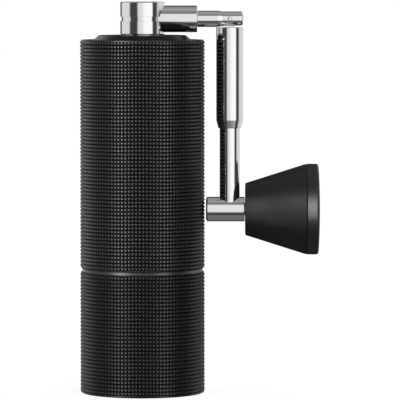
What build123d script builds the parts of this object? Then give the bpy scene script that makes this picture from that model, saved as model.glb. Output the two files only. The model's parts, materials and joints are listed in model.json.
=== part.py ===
from build123d import *
import os

# Hand crank coffee grinder with a folding handle, one STEP file per physical piece.
# Millimetres. The origin is the centre of the base, +Z runs up the grinding axis, and the
# handle is folded down on the +X side. Threads are left as plain cylinders with clearance.

# Clearances
RUN = 0.05          # radial play of a shaft or a bush
LOOSE = 0.3         # radial play of threads and free parts
FACE = 0.1          # axial play between turning faces
TOUCH = 0.02        # gap that keeps two seated parts from sharing a face

# Small sizes used all over
PAST = 1.0          # how far a cutting shape runs past a face
ROOT = 1.0          # how far a fused feature reaches into its neighbour
LEAD = 0.5          # lead-in chamfer
FAR = 10.0          # reach of a cutting block beyond a small part

# Outside of the body: an upper shell and a catch cup of one diameter
BODY_R = 26.0
BODY_TOP_Z = 147.4
SEAM_Z = 50.6
SEAM_CHAMFER_R = 1.1
SEAM_CHAMFER_Z = 1.3
EDGE_FILLET = 0.8

# Upper shell
SHELL_BORE_R = 24.0
SHELL_FLANGE = 2.6
MOUTH_R = 20.3

# Catch cup
CUP_BORE_R = 23.2
CUP_FLOOR = 2.6
CUP_THREAD_R = 24.0
CUP_THREAD_Z = 41.5
CUP_SEAL_HEIGHT = 0.9
CUP_SEAL_LIP = 0.2
CUP_FLOOR_FILLET = 2.0

# Burr carrier with the threaded spigot that the cup screws on to
SPIGOT_R = 23.7
SPIGOT_Z = 42.5
BURR_SEAT_Z = 57.0
CARRIER_TOP_Z = 62.0
CARRIER_FEED_R = 15.0
CARRIER_HOLE_TOP_Z = 61.0

# Burrs
OUTER_BURR_R = 20.0
OUTER_BURR_Z = 45.0
OUTER_BURR_MOUTH_R = 15.7
OUTER_BURR_THROAT_R = 11.6
BURR_GAP = 0.45
INNER_BURR_Z = 44.0
INNER_BURR_TOP_Z = 62.0
INNER_BURR_NOSE_R = 7.6
BURR_SCREW_CIRCLE_R = 18.0
BURR_SCREW_R = 1.0
BURR_SCREW_HEAD_R = 1.7
BURR_SCREW_HEAD = 1.3
BURR_SCREW_END_Z = 60.5
BURR_SCREW_HEX = 1.6
BURR_SCREW_HEX_DEPTH = 0.8
OUTER_TEETH = 36
OUTER_TEETH_TURN = 5          # degrees that keep the teeth clear of the screws
INNER_TEETH = 30
INNER_FLUTES = 6
INNER_FLUTES_TURN = 6
INNER_FLUTE_TWIST = 24

# Tooth spaces, each (depth, half width) at its two ends
OUTER_GAP_FOOT = (0.35, 0.9)
OUTER_GAP_THROAT = (0.9, 1.5)
FINE_GAP_FOOT = (0.5, 1.2)
FINE_GAP_TOP = (0.9, 1.0)
FINE_GAP_TOP_Z = 54.0
FLUTE_FOOT = (0.2, 1.0)
FLUTE_FOOT_Z = 50.0
FLUTE_NOSE = (1.2, 2.6)

# Drive shaft and its two deep-groove bearings, 8 x 16 x 5
SHAFT_R = 4.0
SHAFT_FLAT = 3.4
SHAFT_THREAD_R = 3.35
SHAFT_BOTTOM_Z = 30.0
SHAFT_FLATS_Z = 43.0
SHAFT_HEX_Z = 131.0
SHAFT_TOP_Z = 152.0
HEX_FLATS = 6.8
BEARING_R = 8.0
BEARING_WIDTH = 5.0
BEARING_BALL_R = 1.0
BEARING_BALLS = 9
BEARING_INNER_R = 5.3
BEARING_OUTER_R = 6.7
LOWER_BEARING_Z = 66.6
UPPER_BEARING_Z = 123.6
WASHER = 0.6
WASHER_R = 6.2
CLIP = 0.9
CLIP_GROOVE = 0.4
SHAFT_CLIP_R = 5.6
CLIP_GAP_HALF = 1.2
SHAFT_POINT = (1.2, 0.8)      # radial and axial size of the chamfer on the hexagon

# Bean chamber and the two spiders that hold the bearings
CHAMBER_R = 23.9
CHAMBER_BORE_R = 21.6
CHAMBER_TOP_Z = 144.6
SPIDER_R = 21.5
SPIDER_HUB_R = 10.0
SPIDER_ARMS = 3
SPIDER_ARM_WIDTH = 3.2
SPIDER_LIP = 1.4
SPIDER_LIP_R = 6.9
SPIDER_EDGE = 0.8
SPIDER_FOOT = 1.6
SPIDER_RIM = 1.2
LOWER_RING_TOP_Z = 75.0
LOWER_RING_THROAT_R = 16.0
SPIDER_RING_ROOT = 2.5
UPPER_RING_R = 19.8

# Grind adjuster under the inner burr
DIAL_Z = 34.0
DIAL_TOP_Z = 42.6
DIAL_R = 14.0
DIAL_FLUTES = 24
DIAL_FLUTE_R = 1.1
DIAL_HUB_R = 6.5
DIAL_RECESS_R = 12.0
DIAL_RECESS_Z = 37.5
DIAL_RIM = (0.6, 1.5)         # width of the rim's lower edge and its height above the hub's foot
CLICK_PLATE_Z = 43.0
CLICK_PLATE_R = 11.0
CLICK_CIRCLE_R = 8.5
CLICK_BALL_R = 0.8
CLICK_DIMPLE = 0.45
CLICK_SPRING_R = 0.55
CLICK_SPRING_WIRE_R = 0.12
CLICK_SPRING_TURNS = 4
CLICK_STOPS = 12
CLICK_POCKET = 4.0

# Lid
LID_BASE_R = 20.1
LID_TOP_R = 18.2
LID_FOOT = 0.15
LID_FILLET = 0.6
LID_TOP_Z = 149.3
LID_PLATE_Z = 146.0
LID_SKIRT_Z = 141.0
LID_SKIRT_BORE_R = 17.6
LID_BOSS_R = 11.0
LID_BOSS_Z = 141.5
LID_BORE_R = 8.1
LID_SEAL_Z = 145.2
LID_SEAL_HEIGHT = 1.4
LID_SEAL_DEPTH = 0.6

# Crank hub
HUB_R = 9.15
HUB_Z = 149.6
HUB_TOP_Z = 163.2
HUB_CHAMFER = 0.4
HUB_GROOVE = 0.55
HUB_GROOVE_HALF = 0.95
HUB_BOSS_R = 7.05
HUB_BOSS_Z = 139.0
HUB_CLIP_Z = 140.2
HUB_CLIP_R = 8.8
HUB_CLIP_GAP_HALF = 1.5
HUB_CLIP_GROOVE = 0.45
HEX_PLAY = 0.2
HUB_SOCKET_TOP_Z = 152.6

# Crank arm: collar, neck and slotted knuckle, one turned bar
ARM_Z = 156.1
COLLAR_R = 5.55
COLLAR_X = 22.9
COLLAR_CHAMFER = 0.3
NECK_R = 3.4
NECK_X = 31.6
KNUCKLE_R = 3.1
KNUCKLE_X = 33.3
KNUCKLE_END_X = 42.05
KNUCKLE_ROUND = 1.0
TAIL_R = 3.0
TAIL_X = 3.0
COLLAR_ROOT_X = 6.15

# Fold joint
FOLD_X = 36.4
FOLD_PIN_R = 0.9
FOLD_PIN_CHAMFER = 0.15
TONGUE_HALF = 1.2
TONGUE_EYE_R = 2.2
SLOT_HALF = 1.3
SLOT_ROOF = 2.4
STEM_TOP = 6.3
STEM_CHAMFER = 0.3

# Handle rod and its spring-loaded lock sleeve
ROD_R = 4.175
STEM_R = 3.1
ROD_SHOULDER_Z = 122.0
SLEEVE_R = 5.6
SLEEVE_TOP = 3.5
SLEEVE_CONE_Z = 114.0
SLEEVE_Z = 110.6
SLEEVE_END_R = 4.75
SLEEVE_MOUTH_R = 3.55
SLEEVE_DISH_R = 6.25
SLEEVE_CHAMBER_R = 4.9
SLEEVE_CHAMBER_Z = 121.5
SLEEVE_SHOULDER_Z = 147.0
SLEEVE_SPRING_R = 4.0
SLEEVE_SPRING_WIRE_R = 0.35
SLEEVE_SPRING_TURNS = 9

# Cross tube and knob, on an axis parallel to X
KNOB_Z = 76.7
CROSS_R = 5.15
CROSS_X = 26.5
CROSS_CHAMFER_X = 0.5
CROSS_CHAMFER_R = 0.9
KNOB_X = 42.9
KNOB_NARROW_R = 10.85
KNOB_NARROW_FILLET = 0.4
KNOB_WIDE_R = 18.95
KNOB_SEAM_X = 68.35
KNOB_FACE_X = 73.5
KNOB_END_X = 74.05
KNOB_WALL = 2.2
KNOB_BOSS_R = 7.5
KNOB_BORE_R = 4.5
KNOB_POCKET_X = 46.5
KNOB_SPIGOT_WALL = 1.6
KNOB_SPIGOT_PLAY = 1.0
KNOB_SPIGOT = 2.0
CAP_ROUND = 1.2
CAP_HOLLOW = 1.5
AXLE_R = 2.5
AXLE_X = 32.0
AXLE_END_X = 64.2
AXLE_CHAMFER = 0.3
AXLE_TAP = 8.0
BUSH_LENGTH = 5.0
FRONT_BUSH_X = 43.3
REAR_BUSH_X = 58.0
KNOB_WASHER = 0.8
KNOB_SCREW_R = 1.5
KNOB_SCREW_HEAD_R = 3.6
KNOB_SCREW_HEAD = 2.2
KNOB_SCREW_LENGTH = 7.0
KNOB_SCREW_HEX = 2.5
KNOB_SCREW_HEX_DEPTH = 1.4

# Burr spring
BURR_SPRING_R = 5.2
BURR_SPRING_WIRE_R = 0.35
BURR_SPRING_Z = 55.0
BURR_SPRING_POCKET_R = 6.2
BURR_SPRING_TURNS = 5


# --- shared shapes ---------------------------------------------------------------------

def turned(*outline):
    """A solid turned about Z from (radius, z) corners."""
    section = Plane.XZ * make_face(Polyline(*outline, close=True))
    return revolve(section, Axis.Z)


def along_x(solid):
    """Lays a solid turned about Z on the knob's axis, with its z as x."""
    return Pos(0, 0, KNOB_Z) * Rot(0, 90, 0) * solid


def along_arm(solid):
    """Lays a solid turned about Z on the crank arm's axis, with its z as x."""
    return Pos(0, 0, ARM_Z) * Rot(0, 90, 0) * solid


def rod(radius, low, high):
    """A plain cylinder on the Z axis."""
    return Pos(0, 0, low) * Cylinder(radius, high - low, align=(Align.CENTER, Align.CENTER, Align.MIN))


def ring(outer, inner, low, high):
    """A plain tube on the Z axis."""
    return rod(outer, low, high) - rod(inner, low, high)


def block(x0, x1, y0, y1, z0, z1):
    """A box between two corners."""
    return Pos(x0, y0, z0) * Box(x1 - x0, y1 - y0, z1 - z0, align=(Align.MIN, Align.MIN, Align.MIN))


def hexagon_bar(across_flats, low, high):
    """A hexagonal bar on the Z axis."""
    section = RegularPolygon(across_flats / 2, 6, major_radius=False)
    return Pos(0, 0, low) * extrude(section, high - low)


def round_about(count, first=0.0):
    """The angles of evenly spaced copies, in degrees."""
    return [first + 360 * i / count for i in range(count)]


def round_rims(solid, radius, level, size):
    """Fillets the rims of one radius at one level of a turned solid."""
    rims = [
        e for e in solid.edges().filter_by(GeomType.CIRCLE)
        if abs(e.radius - radius) < 1e-3 and abs(e.center().Z - level) < 1e-3
    ]
    return fillet(rims, size)


def coil(radius, wire, low, high, turns):
    """A round-wire spring on the Z axis, its wire ends inside low and high."""
    rise = high - low - 2 * wire
    path = Pos(0, 0, low + wire) * Helix(pitch=rise / turns, height=rise, radius=radius)
    start = path @ 0
    section = Plane(origin=start, z_dir=path % 0) * Circle(wire)
    return sweep(section, path=path)


# --- body --------------------------------------------------------------------------------

def upper_shell():
    """Outer sleeve with the shoulder that carries the lid."""
    z0 = SEAM_Z + FACE / 2
    flange_z = BODY_TOP_Z - SHELL_FLANGE
    shell = turned(
        (SHELL_BORE_R, z0),
        (BODY_R - SEAM_CHAMFER_R, z0),
        (BODY_R, z0 + SEAM_CHAMFER_Z),
        (BODY_R, BODY_TOP_Z),
        (MOUTH_R, BODY_TOP_Z),
        (MOUTH_R, flange_z),
        (SHELL_BORE_R, flange_z),
    )
    return round_rims(shell, BODY_R, BODY_TOP_Z, EDGE_FILLET)


def bean_chamber():
    """Inner wall of the bean chamber, a liner in the shell."""
    return ring(CHAMBER_R, CHAMBER_BORE_R, CARRIER_TOP_Z, CHAMBER_TOP_Z)


def spider_arms(inner, outer, low, high, first):
    """Radial arms between a bearing hub and its ring."""
    arm = block(inner, outer, -SPIDER_ARM_WIDTH / 2, SPIDER_ARM_WIDTH / 2, low, high)
    return [Rot(0, 0, a) * arm for a in round_about(SPIDER_ARMS, first)]


def lower_spider():
    """Funnel ring and three arms round the lower bearing."""
    seat_top = LOWER_BEARING_Z + BEARING_WIDTH
    hub_z = LOWER_BEARING_Z - SPIDER_FOOT
    hub_top = seat_top + SPIDER_LIP
    funnel = turned(
        (LOWER_RING_THROAT_R, CARRIER_TOP_Z),
        (SPIDER_R, CARRIER_TOP_Z),
        (SPIDER_R, LOWER_RING_TOP_Z),
        (SPIDER_R - SPIDER_EDGE, LOWER_RING_TOP_Z),
        (LOWER_RING_THROAT_R, hub_z + ROOT),
    )
    hub = turned(
        (BEARING_R, hub_z),
        (SPIDER_HUB_R, hub_z),
        (SPIDER_HUB_R, seat_top),
        (SPIDER_LIP_R + SPIDER_EDGE, hub_top),
        (SPIDER_LIP_R, hub_top),
        (SPIDER_LIP_R, seat_top),
        (BEARING_R, seat_top),
    )
    arms = spider_arms(SPIDER_HUB_R - ROOT, SPIDER_R - SPIDER_RING_ROOT, hub_z, seat_top - ROOT, 60)
    return hub + funnel + arms


def upper_spider():
    """Ring and three arms round the upper bearing."""
    hub_z = UPPER_BEARING_Z - SPIDER_LIP
    hub_top = UPPER_BEARING_Z + BEARING_WIDTH + SPIDER_RIM
    hub = turned(
        (SPIDER_LIP_R, hub_z),
        (SPIDER_LIP_R + SPIDER_EDGE, hub_z),
        (SPIDER_HUB_R, UPPER_BEARING_Z),
        (SPIDER_HUB_R, hub_top),
        (BEARING_R, hub_top),
        (BEARING_R, UPPER_BEARING_Z),
        (SPIDER_LIP_R, UPPER_BEARING_Z),
    )
    rim = ring(SPIDER_R, UPPER_RING_R, UPPER_BEARING_Z, hub_top)
    arms = spider_arms(
        SPIDER_HUB_R - ROOT, UPPER_RING_R + ROOT / 2, UPPER_BEARING_Z, hub_top - ROOT, 60
    )
    return hub + rim + arms


def ball_track(low):
    """The torus that the bearing's balls run in."""
    middle = low + BEARING_WIDTH / 2
    pitch_r = (BEARING_INNER_R + BEARING_OUTER_R) / 2
    return Pos(0, 0, middle) * Torus(pitch_r, BEARING_BALL_R + 2 * RUN)


def bearing_outer(low):
    """Outer race of a bearing."""
    return ring(BEARING_R, BEARING_OUTER_R, low, low + BEARING_WIDTH) - ball_track(low)


def bearing_inner(low):
    """Inner race of a bearing, tight on the shaft."""
    return ring(BEARING_INNER_R, SHAFT_R, low, low + BEARING_WIDTH) - ball_track(low)


def bearing_balls(low):
    """The balls of one bearing."""
    pitch_r = (BEARING_INNER_R + BEARING_OUTER_R) / 2
    middle = low + BEARING_WIDTH / 2
    ball = Pos(pitch_r, 0, middle) * Sphere(BEARING_BALL_R)
    return Compound([Rot(0, 0, a) * ball for a in round_about(BEARING_BALLS)])


# --- burrs -------------------------------------------------------------------------------

def burr_carrier():
    """Ring that holds the outer burr, with the cup's threaded spigot below."""
    body = turned(
        (OUTER_BURR_R + RUN, SPIGOT_Z),
        (SPIGOT_R - LEAD, SPIGOT_Z),
        (SPIGOT_R, SPIGOT_Z + LEAD),
        (SPIGOT_R, SEAM_Z + FACE / 2),
        (CHAMBER_R, SEAM_Z + FACE / 2),
        (CHAMBER_R, CARRIER_TOP_Z),
        (CARRIER_FEED_R, CARRIER_TOP_Z),
        (CARRIER_FEED_R, BURR_SEAT_Z),
        (OUTER_BURR_R + RUN, BURR_SEAT_Z),
    )
    hole = Pos(BURR_SCREW_CIRCLE_R, 0, 0) * rod(BURR_SCREW_R, BURR_SEAT_Z - PAST, CARRIER_HOLE_TOP_Z)
    return body - [Rot(0, 0, a) * hole for a in round_about(3)]


def outer_burr():
    """Fixed ring burr: a toothed cone inside, three countersunk screw holes."""
    height = BURR_SEAT_Z - OUTER_BURR_Z
    body = turned(
        (OUTER_BURR_MOUTH_R, OUTER_BURR_Z),
        (OUTER_BURR_R, OUTER_BURR_Z),
        (OUTER_BURR_R, BURR_SEAT_Z),
        (OUTER_BURR_THROAT_R, BURR_SEAT_Z),
    )
    lean = (OUTER_BURR_MOUTH_R - OUTER_BURR_THROAT_R) / height
    groove = loft([
        Pos(0, 0, OUTER_BURR_Z - PAST) * tooth_gap(OUTER_BURR_MOUTH_R + lean, *OUTER_GAP_FOOT),
        Pos(0, 0, BURR_SEAT_Z + PAST) * tooth_gap(OUTER_BURR_THROAT_R - lean, *OUTER_GAP_THROAT),
    ])
    shank = rod(BURR_SCREW_R, OUTER_BURR_Z, BURR_SEAT_Z + PAST)
    head = rod(BURR_SCREW_HEAD_R + RUN, OUTER_BURR_Z - PAST, OUTER_BURR_Z + BURR_SCREW_HEAD)
    hole = Pos(BURR_SCREW_CIRCLE_R, 0, 0) * (shank + head)
    body -= [Rot(0, 0, a) * groove for a in round_about(OUTER_TEETH, OUTER_TEETH_TURN)]
    return body - [Rot(0, 0, a) * hole for a in round_about(3)]


def tooth_gap(radius, depth, width):
    """A V between two teeth, open towards the axis."""
    return make_face(Polyline(
        (radius - PAST, -width), (radius + depth, 0), (radius - PAST, width), close=True
    ))


def burr_bore(low, high):
    """Bore with two flats that slides on the shaft."""
    flats = block(-FAR, FAR, -SHAFT_FLAT - RUN, SHAFT_FLAT + RUN, low, high)
    return rod(SHAFT_R + RUN, low, high) & flats


def inner_burr():
    """Turning cone burr with coarse flutes above fine teeth."""
    lean = (OUTER_BURR_MOUTH_R - OUTER_BURR_THROAT_R) / (BURR_SEAT_Z - OUTER_BURR_Z)
    bottom_r = OUTER_BURR_MOUTH_R - BURR_GAP
    shoulder_r = OUTER_BURR_THROAT_R - BURR_GAP
    body = turned(
        (0, INNER_BURR_Z),
        (bottom_r - LEAD, INNER_BURR_Z),
        (bottom_r, OUTER_BURR_Z),
        (shoulder_r, BURR_SEAT_Z),
        (INNER_BURR_NOSE_R, INNER_BURR_TOP_Z),
        (0, INNER_BURR_TOP_Z),
    )
    foot_z = INNER_BURR_Z - PAST
    foot_r = bottom_r + (OUTER_BURR_Z - foot_z) * lean
    fine_top_r = bottom_r - (FINE_GAP_TOP_Z - OUTER_BURR_Z) * lean
    flute_foot_r = bottom_r - (FLUTE_FOOT_Z - OUTER_BURR_Z) * lean
    fine = loft([
        Pos(0, 0, foot_z) * tooth_cut(foot_r, *FINE_GAP_FOOT),
        Pos(0, 0, FINE_GAP_TOP_Z) * tooth_cut(fine_top_r, *FINE_GAP_TOP),
    ])
    nose = Pos(0, 0, INNER_BURR_TOP_Z + PAST) * Rot(0, 0, INNER_FLUTE_TWIST)
    flute = loft([
        Pos(0, 0, FLUTE_FOOT_Z) * tooth_cut(flute_foot_r, *FLUTE_FOOT),
        nose * tooth_cut(INNER_BURR_NOSE_R, *FLUTE_NOSE),
    ])
    body -= [Rot(0, 0, a) * fine for a in round_about(INNER_TEETH)]
    body -= [Rot(0, 0, a) * flute for a in round_about(INNER_FLUTES, INNER_FLUTES_TURN)]
    body -= rod(BURR_SPRING_POCKET_R, BURR_SPRING_Z, INNER_BURR_TOP_Z + PAST)
    return body - burr_bore(foot_z, INNER_BURR_TOP_Z)


def tooth_cut(radius, depth, width):
    """A V between two teeth, open away from the axis."""
    return make_face(Polyline(
        (radius + 2 * PAST, -width), (radius - depth, 0), (radius + 2 * PAST, width), close=True
    ))


def burr_screws():
    """Three screws that hold the outer burr in its carrier."""
    low = OUTER_BURR_Z + FACE
    shank = rod(BURR_SCREW_R, low, BURR_SCREW_END_Z)
    head = rod(BURR_SCREW_HEAD_R, low, OUTER_BURR_Z + BURR_SCREW_HEAD)
    socket = hexagon_bar(BURR_SCREW_HEX, low - PAST, low + BURR_SCREW_HEX_DEPTH)
    screw = Pos(BURR_SCREW_CIRCLE_R, 0, 0) * (shank + head - socket)
    return Compound([Rot(0, 0, a) * screw for a in round_about(3)])


def burr_spring():
    """Spring that presses the inner burr down on to the adjuster."""
    high = LOWER_BEARING_Z - WASHER
    return coil(BURR_SPRING_R, BURR_SPRING_WIRE_R, BURR_SPRING_Z, high, BURR_SPRING_TURNS)


# --- drive shaft ---------------------------------------------------------------------------

def drive_shaft():
    """Shaft: threaded foot, flats for the burr, round journals, hexagonal top."""
    round_part = rod(SHAFT_R, SHAFT_FLATS_Z, SHAFT_HEX_Z)
    beside = block(-FAR, FAR, SHAFT_FLAT, FAR, SHAFT_FLATS_Z, INNER_BURR_TOP_Z)
    groove_z = UPPER_BEARING_Z + BEARING_WIDTH + RUN
    groove = ring(SHAFT_R + PAST, SHAFT_R - CLIP_GROOVE, groove_z, groove_z + CLIP)
    journal = round_part - [beside, Rot(0, 0, 180) * beside] - groove
    foot = rod(SHAFT_THREAD_R, SHAFT_BOTTOM_Z, SHAFT_FLATS_Z)
    foot = chamfer(foot.edges().group_by(Axis.Z)[0], LEAD)
    top = hexagon_bar(HEX_FLATS, SHAFT_HEX_Z, SHAFT_TOP_Z)
    point_in, point_down = SHAFT_POINT
    top &= turned(
        (0, SHAFT_HEX_Z), (SHAFT_R, SHAFT_HEX_Z), (SHAFT_R, SHAFT_TOP_Z - point_down),
        (SHAFT_R - point_in, SHAFT_TOP_Z), (0, SHAFT_TOP_Z),
    )
    return journal + foot + top


def shaft_washer():
    """Thrust washer under the lower bearing."""
    return ring(WASHER_R, SHAFT_R + RUN, LOWER_BEARING_Z - WASHER, LOWER_BEARING_Z - TOUCH)


def shaft_clip():
    """Snap ring that holds the shaft up in the upper bearing."""
    low = UPPER_BEARING_Z + BEARING_WIDTH + 2 * RUN
    gap = block(0, FAR, -CLIP_GAP_HALF, CLIP_GAP_HALF, low - PAST, low + CLIP)
    return ring(SHAFT_CLIP_R, SHAFT_R - CLIP_GROOVE + RUN, low, low + CLIP - 2 * RUN) - gap


# --- grind adjuster ------------------------------------------------------------------------

def click_plate():
    """Detent plate under the inner burr, with dimples for the click balls."""
    plate = rod(CLICK_PLATE_R, CLICK_PLATE_Z, INNER_BURR_Z - TOUCH)
    dimple = Pos(CLICK_CIRCLE_R, 0, CLICK_PLATE_Z - CLICK_DIMPLE) * Sphere(CLICK_BALL_R)
    plate -= [Rot(0, 0, a) * dimple for a in round_about(CLICK_STOPS)]
    return plate - burr_bore(CLICK_PLATE_Z - PAST, INNER_BURR_Z)


def adjuster_dial():
    """Fluted thumb wheel that screws on the shaft's foot."""
    rim, rim_rise = DIAL_RIM
    rim_z = DIAL_Z + rim_rise
    wheel = turned(
        (SHAFT_THREAD_R + RUN, DIAL_Z),
        (DIAL_HUB_R, DIAL_Z),
        (DIAL_HUB_R, DIAL_RECESS_Z),
        (DIAL_RECESS_R, DIAL_RECESS_Z),
        (DIAL_R - rim, rim_z),
        (DIAL_R, rim_z + rim),
        (DIAL_R, DIAL_TOP_Z - LEAD),
        (DIAL_R - LEAD, DIAL_TOP_Z),
        (SHAFT_THREAD_R + RUN, DIAL_TOP_Z),
    )
    flute = Pos(DIAL_R + LEAD, 0, 0) * rod(DIAL_FLUTE_R, DIAL_Z - PAST, DIAL_TOP_Z + PAST)
    pocket_z = DIAL_TOP_Z - CLICK_POCKET
    pocket = Pos(CLICK_CIRCLE_R, 0, 0) * rod(CLICK_BALL_R + RUN, pocket_z, DIAL_TOP_Z + PAST)
    wheel -= [Rot(0, 0, a) * flute for a in round_about(DIAL_FLUTES)]
    return wheel - [Rot(0, 0, a) * pocket for a in round_about(2)]


def click_balls():
    """Two balls that click from dimple to dimple."""
    ball = Pos(CLICK_CIRCLE_R, 0, CLICK_PLATE_Z - TOUCH - CLICK_BALL_R) * Sphere(CLICK_BALL_R)
    return Compound([Rot(0, 0, a) * ball for a in round_about(2)])


def click_springs():
    """Small springs under the click balls."""
    low = DIAL_TOP_Z - CLICK_POCKET + TOUCH
    high = CLICK_PLATE_Z - 2 * CLICK_BALL_R - RUN
    spring = coil(CLICK_SPRING_R, CLICK_SPRING_WIRE_R, low, high, CLICK_SPRING_TURNS)
    spring = Pos(CLICK_CIRCLE_R, 0, 0) * spring
    return Compound([Rot(0, 0, a) * spring for a in round_about(2)])


# --- catch cup -----------------------------------------------------------------------------

def catch_cup():
    """Cup for the ground coffee, with a threaded mouth."""
    top = SEAM_Z - FACE / 2
    cup = turned(
        (0, 0),
        (BODY_R, 0),
        (BODY_R, top - SEAM_CHAMFER_Z),
        (BODY_R - SEAM_CHAMFER_R, top),
        (CUP_THREAD_R, top),
        (CUP_THREAD_R, CUP_THREAD_Z),
        (CUP_BORE_R, CUP_THREAD_Z),
        (CUP_BORE_R, CUP_FLOOR),
        (0, CUP_FLOOR),
    )
    cup = round_rims(cup, BODY_R, 0, EDGE_FILLET)
    return round_rims(cup, CUP_BORE_R, CUP_FLOOR, CUP_FLOOR_FILLET)


def cup_seal():
    """Sealing ring on the ledge below the cup's thread."""
    low = CUP_THREAD_Z + RUN
    return ring(CUP_THREAD_R - RUN, CUP_BORE_R - CUP_SEAL_LIP, low, low + CUP_SEAL_HEIGHT)


# --- lid -----------------------------------------------------------------------------------

def lid():
    """Lid with a skirt in the shell's mouth and a boss for the crank."""
    body = turned(
        (LID_BORE_R, LID_BOSS_Z),
        (LID_BOSS_R, LID_BOSS_Z),
        (LID_BOSS_R, LID_PLATE_Z),
        (LID_SKIRT_BORE_R, LID_PLATE_Z),
        (LID_SKIRT_BORE_R, LID_SKIRT_Z),
        (LID_BASE_R, LID_SKIRT_Z),
        (LID_BASE_R, BODY_TOP_Z + LID_FOOT),
        (LID_TOP_R, LID_TOP_Z),
        (LID_BORE_R, LID_TOP_Z),
    )
    body = round_rims(body, LID_TOP_R, LID_TOP_Z, LID_FILLET)
    groove_z = LID_SEAL_Z - RUN
    return body - ring(
        LID_BASE_R + PAST, LID_BASE_R - LID_SEAL_DEPTH, groove_z, groove_z + LID_SEAL_HEIGHT + 2 * RUN
    )


def lid_seal():
    """Sealing ring in the lid's skirt."""
    outer = MOUTH_R - RUN * 2
    return ring(outer, LID_BASE_R - LID_SEAL_DEPTH, LID_SEAL_Z, LID_SEAL_Z + LID_SEAL_HEIGHT)


def lid_bush():
    """Plain bush in which the crank hub turns."""
    return ring(LID_BORE_R - TOUCH, HUB_BOSS_R + RUN, LID_BOSS_Z, LID_TOP_Z)


# --- crank -----------------------------------------------------------------------------------

def crank_hub():
    """Hub with a waist groove, a boss through the lid and a hexagonal socket."""
    low, high = ARM_Z - HUB_GROOVE_HALF, ARM_Z + HUB_GROOVE_HALF
    hub = turned(
        (0, HUB_BOSS_Z),
        (HUB_BOSS_R - LEAD, HUB_BOSS_Z),
        (HUB_BOSS_R, HUB_BOSS_Z + LEAD),
        (HUB_BOSS_R, HUB_Z),
        (HUB_R - HUB_CHAMFER, HUB_Z),
        (HUB_R, HUB_Z + HUB_CHAMFER),
        (HUB_R, low),
        (HUB_R - HUB_GROOVE, low),
        (HUB_R - HUB_GROOVE, high),
        (HUB_R, high),
        (HUB_R, HUB_TOP_Z - HUB_CHAMFER),
        (HUB_R - HUB_CHAMFER, HUB_TOP_Z),
        (0, HUB_TOP_Z),
    )
    hub -= hexagon_bar(HEX_FLATS + HEX_PLAY, HUB_BOSS_Z - PAST, HUB_SOCKET_TOP_Z)
    groove_r = HUB_BOSS_R - HUB_CLIP_GROOVE
    hub -= ring(HUB_BOSS_R + PAST, groove_r, HUB_CLIP_Z - RUN, HUB_CLIP_Z + CLIP + RUN)
    return hub - along_arm(rod(TAIL_R, TAIL_X, HUB_R + PAST))


def hub_clip():
    """Snap ring that keeps the lid on the crank."""
    top = HUB_CLIP_Z + CLIP
    gap = block(0, FAR, -HUB_CLIP_GAP_HALF, HUB_CLIP_GAP_HALF, HUB_CLIP_Z - PAST, top + PAST)
    return ring(HUB_CLIP_R, HUB_BOSS_R - HUB_CLIP_GROOVE + RUN, HUB_CLIP_Z, top) - gap


def crank_arm():
    """Collar, neck and slotted knuckle, with a tail fixed in the hub."""
    bar = turned(
        (0, TAIL_X + FACE),
        (TAIL_R, TAIL_X + FACE),
        (TAIL_R, COLLAR_ROOT_X),
        (COLLAR_R, COLLAR_ROOT_X),
        (COLLAR_R, COLLAR_X - COLLAR_CHAMFER),
        (COLLAR_R - COLLAR_CHAMFER, COLLAR_X),
        (NECK_R, COLLAR_X),
        (NECK_R, NECK_X),
        (KNUCKLE_R, KNUCKLE_X),
        (KNUCKLE_R, KNUCKLE_END_X),
        (0, KNUCKLE_END_X),
    )
    bar = round_rims(bar, KNUCKLE_R, KNUCKLE_END_X, KNUCKLE_ROUND)
    hub_space = rod(HUB_R + TOUCH, ARM_Z - FAR, ARM_Z + FAR) - along_arm(rod(TAIL_R, 0, COLLAR_X))
    slot = block(
        FOLD_X - TONGUE_EYE_R - LOOSE, KNUCKLE_END_X + PAST, -SLOT_HALF, SLOT_HALF,
        ARM_Z - FAR, ARM_Z + SLOT_ROOF,
    )
    return along_arm(bar) - hub_space - slot - fold_pin_hole(FOLD_PIN_R)


def fold_pin_hole(radius):
    """A long cylinder along the fold joint's axis."""
    return Pos(FOLD_X, 0, ARM_Z) * Rot(90, 0, 0) * Cylinder(radius, 2 * FAR)


def fold_pin():
    """Hinge pin, flush with the knuckle's cheeks."""
    pin = Cylinder(FOLD_PIN_R, 2 * KNUCKLE_R)
    pin = chamfer(pin.edges().filter_by(GeomType.CIRCLE), FOLD_PIN_CHAMFER)
    return Pos(FOLD_X, 0, ARM_Z) * Rot(90, 0, 0) * pin


# --- handle ----------------------------------------------------------------------------------

def lever_rod():
    """Rod with a thin stem and a tongue that turns on the fold pin."""
    stem_top_z = ARM_Z - STEM_TOP
    thick = turned(
        (0, KNOB_Z), (ROD_R, KNOB_Z), (ROD_R, ROD_SHOULDER_Z), (STEM_R, ROD_SHOULDER_Z),
        (STEM_R, stem_top_z - STEM_CHAMFER), (STEM_R - STEM_CHAMFER, stem_top_z), (0, stem_top_z),
    )
    tongue = block(
        -TONGUE_EYE_R, TONGUE_EYE_R, -TONGUE_HALF, TONGUE_HALF, stem_top_z - ROOT, ARM_Z
    )
    eye = Pos(0, 0, ARM_Z) * Rot(90, 0, 0) * Cylinder(TONGUE_EYE_R, 2 * TONGUE_HALF)
    solid = Pos(FOLD_X, 0, 0) * (thick + tongue + eye)
    solid -= fold_pin_hole(FOLD_PIN_R + RUN)
    return solid - along_x(rod(CROSS_R, 0, KNOB_SEAM_X))


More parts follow.
